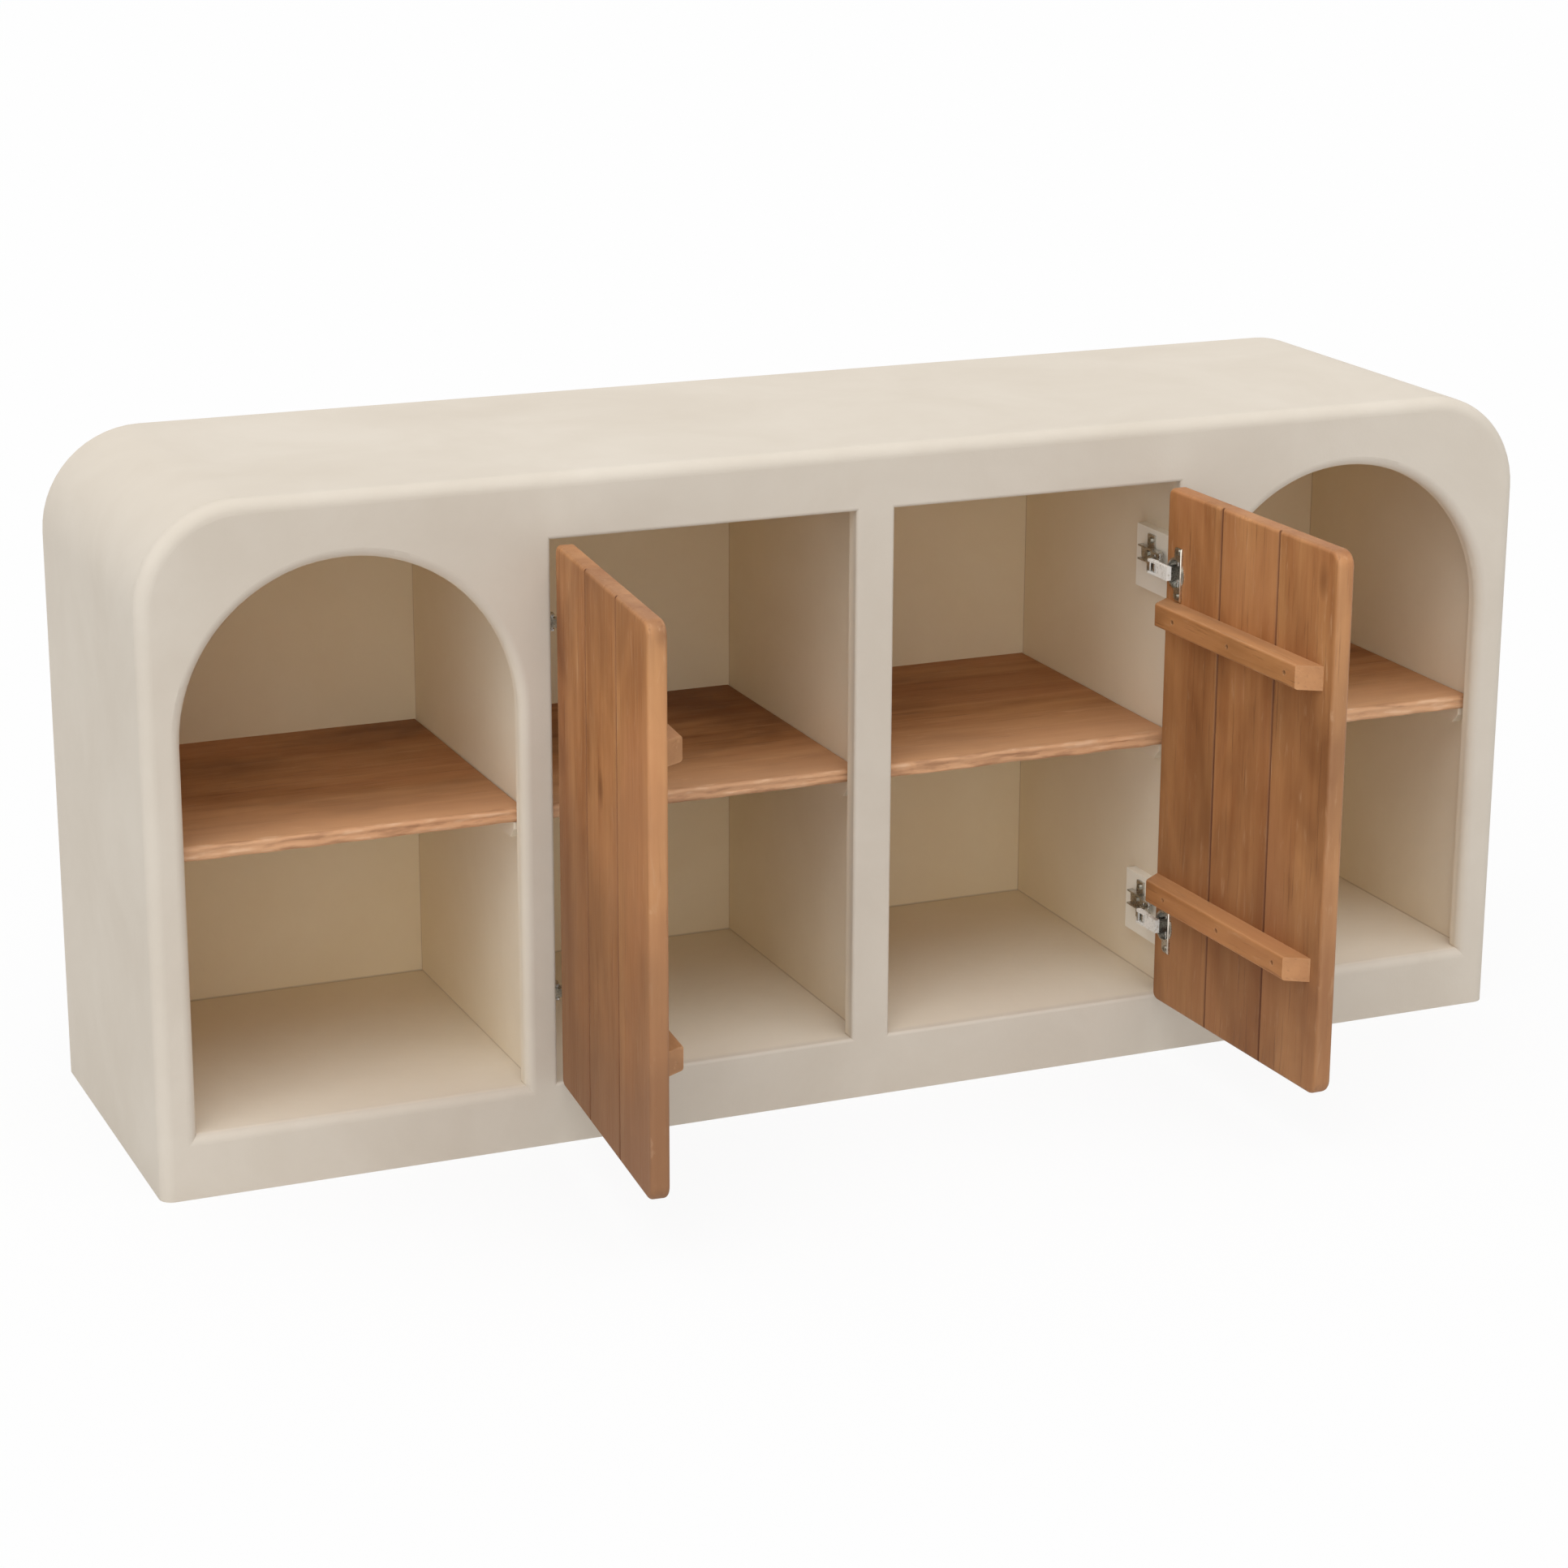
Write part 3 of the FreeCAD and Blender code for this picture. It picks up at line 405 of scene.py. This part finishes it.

# %% [markdown]
# ## Metal and the white block
# The hinges are nickel plated steel, a little scuffed. Plating isn't a mirror: tiny rolling marks spread its
# highlight, so the roughness and the bump follow a stretched noise. The batten screws are painted dark, a
# painted shade for the shade in their holes, so they show as dots. The lips of the hinge cups get a brighter
# copy of the nickel, a painted highlight.


# %% Hinge materials
def metal_material(name, colour, roughness, metallic=1.0):
    material, tree, shader = new_material(name)
    place = add(tree, "TexCoord").outputs["Object"]
    drawn = add(tree, "Mapping", {"Vector": place, "Scale": (1.0, 1.0, 8.0)}).outputs[0]
    marks = noise_at(tree, drawn, 300.0, 4.0)
    tint = remap(tree, noise_at(tree, place, 90.0, 2.0), 0.35, 0.7)
    dull = tuple(part * 0.72 for part in colour[:3]) + (1.0,)
    tree.links.new(blend_colour(tree, tint, colour, dull), shader.inputs["Base Color"])
    tree.links.new(remap(tree, marks, 0.3, 0.7, roughness - 0.07, roughness + 0.1),
                   shader.inputs["Roughness"])
    relief = add(tree, "Bump", {"Strength": 0.12, "Distance": 0.0003, "Height": marks})
    tree.links.new(relief.outputs[0], shader.inputs["Normal"])
    shader.inputs["Metallic"].default_value = metallic
    return material


nickel, nickel_roughness = srgb(206, 204, 198), 0.26
hinge_nickel = metal_material("hinge_nickel", nickel, nickel_roughness)
screw_zinc = metal_material("screw_zinc", srgb(186, 182, 170), 0.34)
# Painted shade: the batten screws are painted dark for the shade in their holes.
shaded_screw = metal_material("shaded_screw", srgb(58, 44, 34), 0.6, metallic=0.3)
# Painted highlight: a brighter copy of the nickel for the lips of the hinge cups.
lip_highlight = metal_material("lip_highlight", srgb(236, 230, 218), 0.3)
print("metals:", hinge_nickel.name, screw_zinc.name, shaded_screw.name, lip_highlight.name)

# %% [markdown]
# ## The white leg of the link block
# Each hinge has a moulded white cap on the leg of its link block, beside the jamb. The CAD node is one solid,
# so the cap is a mask: within seven millimetres of the block's inner edge the metal gives way to scuffed
# white.

# %% White cap
white_cap, scuffed_cap, leg_width, cap_edge = srgb(240, 239, 234), srgb(206, 202, 192), 0.007, 0.0002


def block_material(name, inner_edge):
    material = metal_material(name, nickel, nickel_roughness)
    tree = material.node_tree
    shader = tree.nodes["Principled BSDF"]
    place = add(tree, "TexCoord").outputs["Object"]
    leg_end = inner_edge + leg_width
    across = size_of(tree, split_axes(tree, place)["X"])
    capped = remap(tree, across, leg_end + cap_edge, leg_end - cap_edge)
    scuffs = remap(tree, noise_at(tree, place, 260.0, 3.0), 0.55, 0.72)
    cap = blend_colour(tree, scuffs, white_cap, scuffed_cap)
    steel = shader.inputs["Base Color"].links[0].from_socket
    tree.links.new(blend_colour(tree, capped, steel, cap), shader.inputs["Base Color"])
    tree.links.new(remap(tree, capped, 0.0, 1.0, 1.0, 0.0), shader.inputs["Metallic"])
    return material


print("white cap ready")

# %% [markdown]
# ## Dressing the CAD nodes
# Most pieces already have their real shape, so they stay and only get their finish. The grain runs up the
# planks, along the battens and along the shelves, and each board has a seed of its own so no two match. The
# doors stand open in the CAD, so the direction across a door comes from its angle.

# %% Door directions
door_turns = {"left": math.radians(-95), "right": math.radians(92)}
left_grey, right_grey = 0.75, 0.4
upright = (0.0, 0.0, 0.0)
lengthways = (0.0, math.radians(90), 0.0)
outwards = (math.radians(90), 0.0, 0.0)


def finish_node(name, material):
    for entry in nodes[name].material_slots:
        entry.material = material


def plank_wood(name, seed, turn):
    leaf_face, leaf_along = (-math.sin(turn), math.cos(turn), 0.0), (math.cos(turn), math.sin(turn), 0.0)
    spread = [corner.co.dot(Vector(leaf_along)) for corner in nodes[name].data.vertices]
    edges = {"hinge": (max(spread, key=abs),), "free": (min(spread, key=abs),)}
    joints = next((found for word, found in edges.items() if word in name), (min(spread), max(spread)))
    print(name, "joints at", [round(joint, 4) for joint in joints])
    greyed = left_grey if turn < 0 else right_grey
    return wood_material(name + "_wood", upright, seed, door_tones, leaf_face, 0.15, 0.006,
                         leaf_along=leaf_along, joints=joints, greyed=greyed)


def batten_wood(name, seed, turn):
    leaf_face = (-math.sin(turn), math.cos(turn), 0.0)
    return wood_material(name + "_wood", outwards, seed, batten_tones, leaf_face, 0.3)


# %% Assign finishes
hinge_words = ("hinge_arm", "mounting_plate", "hinge_cup", "links")
shelf_woods = {}
for order, name in enumerate(sorted(nodes)):
    seed = order * 3.7 + 0.5
    turn = door_turns.get(name.split("_")[0], 0.0)
    if "screws" in name:
        finish = shaded_screw if "batten" in name else screw_zinc
    elif "link_block" in name:
        finish = block_material(name + "_finish", min(abs(corner[0]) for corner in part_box(name)))
    elif any(word in name for word in hinge_words):
        finish = hinge_nickel
    elif "_plank" in name:
        finish = plank_wood(name, seed, turn)
    elif "_batten" in name:
        finish = batten_wood(name, seed, turn)
    elif name.endswith("_shelf"):
        finish = wood_material(name + "_wood", lengthways, seed, shelf_tones, (0.0, 0.0, 1.0), 0.5,
                               front_light=0.72)
        shelf_woods[name] = finish
    elif "packing" in name:
        finish = painted_blocks
    elif name in ("rear_plinth_rail", "plinth_bearers"):
        finish = wood_material(name + "_wood", lengthways, seed, shelf_tones, (0.0, 1.0, 0.0), 0.2)
    else:
        finish = cream_plaster
    finish_node(name, finish)
print("finished nodes:", len(nodes))

# %% [markdown]
# ## The shelf boards
# The real shelves are boards with a rough, hand worked front: the edge wanders by a few millimetres and its
# two corners are rubbed round, more in one place than in the next. CAD holds the straight board. Here each
# board is swept along its length as a ring of points, and noise pushes the front ones inwards, never out of
# the CAD board.


# %% Board builder
def board_ring(x, seed, low, high):
    corner_steps, face_rows, broad_rows = 5, 4, 6

    def wander(scale, row, strength):
        return strength * (0.5 + 0.5 * noise.noise(Vector((x * scale, row * 0.9, seed))))

    front = low.y + wander(9.0, 0.0, 0.004) + wander(45.0, 5.0, 0.003)
    upper, lower = 0.0022 + wander(26.0, 11.0, 0.0045), 0.0015 + wander(30.0, 17.0, 0.0065)
    turns = [math.radians(90) * j / corner_steps for j in range(corner_steps + 1)]
    top = [(x, high.y + (front + upper - high.y) * j / broad_rows, high.z - wander(11.0, 20.0 + j, 0.0006))
           for j in range(broad_rows)]
    upper_corner = [(x, front + upper * (1 - math.sin(turn)), high.z - upper * (1 - math.cos(turn)))
                    for turn in turns]
    drop = low.z + lower - high.z + upper
    face = [(x, front + wander(70.0, 30.0 + j, 0.002), high.z - upper + drop * j / face_rows)
            for j in range(1, face_rows)]
    lower_corner = [(x, front + lower * (1 - math.cos(turn)), low.z + lower * (1 - math.sin(turn)))
                    for turn in turns]
    return top + upper_corner + face + lower_corner + [(x, high.y, low.z)]


def swept_mesh(name, rings):
    mesh = bmesh.new()
    loops = [[mesh.verts.new(point) for point in ring] for ring in rings]
    for here, after in zip(loops, loops[1:]):
        for k in range(len(here)):
            mesh.faces.new((here[k], here[k - 1], after[k - 1], after[k])).smooth = True
    for end in (loops[0], loops[-1]):
        mesh.faces.new(end)
    bmesh.ops.recalc_face_normals(mesh, faces=mesh.faces)
    for edge in mesh.edges:
        if edge.calc_face_angle(0.0) > math.radians(50):
            edge.smooth = False
    data = bpy.data.meshes.new(name)
    mesh.to_mesh(data)
    mesh.free()
    return link_to(name, data)


# %% Shelf boards
ring_spacing = 0.006
for order, name in enumerate(sorted(shelf_woods)):
    low, high = (Vector(corner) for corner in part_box(name))
    steps = round((high.x - low.x) / ring_spacing)
    seed = order * 4.3 + 1.0
    rings = [board_ring(low.x + (high.x - low.x) * k / steps, seed, low, high) for k in range(steps + 1)]
    board = swept_mesh(name + "_board", rings)
    board.data.materials.append(shelf_woods[name])
    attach(board, "carcass")
    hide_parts(name)
    print(board.name, "faces:", len(board.data.polygons))

# %% [markdown]
# ## Flange lips
# Each hinge cup is pressed from sheet, and the far side of its flange is turned up into a narrow lip, which
# shows as a bright line down the door, its nickel painted brighter than the rest as a painted highlight. It
# is a small bar with round ends, set by the flange's own corners, so it stays right at any door angle.

# %% Lip builder
lip_height, lip_half_width, lip_end, lip_root = 0.0026, 0.0008, 0.0012, 0.0004
lip_steps, tip_share, flange_share = 8, 0.35, 0.36


def flange_lip(name, side_word):
    turn = door_turns[side_word]
    outward = Vector((math.cos(turn), math.sin(turn), 0.0))
    proud = Vector((-math.sin(turn), math.cos(turn), 0.0))
    corners = [corner.co for corner in nodes[name].data.vertices]
    low, high = min(c.z for c in corners), max(c.z for c in corners)
    ears = [c for c in corners if abs(c.z - (low + high) / 2) > flange_share * (high - low)]
    reach = [c.dot(outward) for c in ears]
    side = max(reach) - lip_half_width if side_word == "left" else min(reach) + lip_half_width
    root = max(c.dot(proud) for c in ears) - lip_root
    rings = []
    for height, share in ((low, tip_share), (low + lip_end, 1.0), (high - lip_end, 1.0), (high, tip_share)):
        swings = [math.pi * k / lip_steps for k in range(lip_steps + 1)]
        outline = [(lip_half_width * math.cos(swing), lip_height * (0.25 + 0.75 * math.sin(swing)))
                   for swing in swings] + [(-lip_half_width, 0.0), (lip_half_width, 0.0)]
        rings.append([outward * (side + across * share) + proud * (root + rise * share)
                      + Vector((0.0, 0.0, height)) for across, rise in outline])
    return swept_mesh(name.replace("hinge_cup", "flange_lip"), rings)


# %% Flange lips
for name in sorted(nodes):
    if name.endswith("hinge_cup"):
        side_word = name.split("_")[0]
        lip = flange_lip(name, side_word)
        lip.data.materials.append(lip_highlight)
        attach(lip, side_word + "_door")
        print(lip.name, "faces:", len(lip.data.polygons))

# %% [markdown]
# ## Floor and backdrop
# The photograph is a cut-out on white, so the floor is a large white sheet. Its shadow stays, and to the
# camera it is nearly plain white: Light Path mixes in a glow of strength 1 for camera rays only, so the sheet
# sheds no extra light on the cabinet.

# %% Studio floor
floor_reach, paper_white, glow_share = 30.0, 0.75, 0.9
floor_mesh = bpy.data.meshes.new("studio_floor")
floor_corners = [(x * floor_reach, y * floor_reach, 0.0) for x, y in ((-1, -1), (1, -1), (1, 1), (-1, 1))]
floor_mesh.from_pydata(floor_corners, [], [(0, 1, 2, 3)])
floor = link_to("studio_floor", floor_mesh)
floor_material, tree, paper = new_material("studio_white")
paper.inputs["Base Color"].default_value = (paper_white, paper_white, paper_white, 1.0)
paper.inputs["Roughness"].default_value = 0.95
paper.inputs["Specular IOR Level"].default_value = 0.0
glow = add(tree, "Emission", {"Color": (1.0, 1.0, 1.0, 1.0), "Strength": 1.0})
seen = add(tree, "LightPath").outputs["Is Camera Ray"]
layers = {"Fac": times(tree, seen, glow_share), 1: paper.outputs[0], 2: glow.outputs[0]}
mixed = add(tree, "MixShader", layers).outputs[0]
tree.links.new(mixed, tree.nodes["Material Output"].inputs["Surface"])
floor_mesh.materials.append(floor_material)
print("floor laid:", 2 * floor_reach, "m square")

# %% [markdown]
# ## World
# The world is the white room around the cabinet. It is plain white to the camera and in reflections, so the
# nickel shows the same backdrop, but as a light it is weaker, so that the lamps can model the form.

# %% World
world_light = 0.48
world = bpy.data.worlds.new("studio_world")
bpy.context.scene.world = world
world.use_nodes = True
tree = world.node_tree
path = add(tree, "LightPath").outputs
seen = maths(tree, "MAXIMUM", path["Is Glossy Ray"], path["Is Transmission Ray"])
seen = maths(tree, "MAXIMUM", path["Is Camera Ray"], seen)
tree.links.new(remap(tree, seen, 0.0, 1.0, world_light, 1.0), tree.nodes["Background"].inputs["Strength"])
tree.nodes["Background"].inputs["Color"].default_value = (1.0, 1.0, 1.0, 1.0)
print("world light:", world_light)

# %% [markdown]
# ## Lamps
# The photograph has large soft banks of light and hardly a shadow. Wide suns stand in for them: a sun lights
# near and far parts alike, and its angle of 60 to 70 degrees softens the shadows. The strongest hangs
# overhead, the second stands in front to the left, and a faint one fills the left side.


# %% Lamps
def soft_sun(name, azimuth, elevation, spread, power):
    lamp = bpy.data.lights.new(name, "SUN")
    lamp.angle = math.radians(spread)
    lamp.energy = power
    turn, rise = math.radians(azimuth), math.radians(elevation)
    towards = Vector((math.sin(turn) * math.cos(rise), -math.cos(turn) * math.cos(rise), math.sin(rise)))
    link_to(name, lamp).rotation_euler = towards.to_track_quat("Z", "Y").to_euler()
    print(name, "power", power)


soft_sun("ceiling_bank", -20, 78, 70, 1.86)
soft_sun("front_bank", -34, 32, 70, 0.92)
soft_sun("side_bank", -90, 20, 60, 0.08)

# %% [markdown]
# ## Camera
# The camera stands to the left of the cabinet, a little over head height above it, and looks down through a
# long lens. A long lens from far away keeps the uprights nearly parallel, as a catalogue picture has them.

# %% Camera
camera_data = bpy.data.cameras.new("photo_camera")
camera_data.sensor_width = 36.0
camera_data.lens = 88.7
camera_data.clip_end = 100.0
camera = link_to("photo_camera", camera_data)
camera.location = (-1.724, -3.991, 1.633)
camera.rotation_euler = tuple(math.radians(angle) for angle in (73.12, -0.22, -23.09))
bpy.context.scene.camera = camera
bpy.context.scene.view_settings.view_transform = "Standard"
print("camera at", tuple(camera.location))
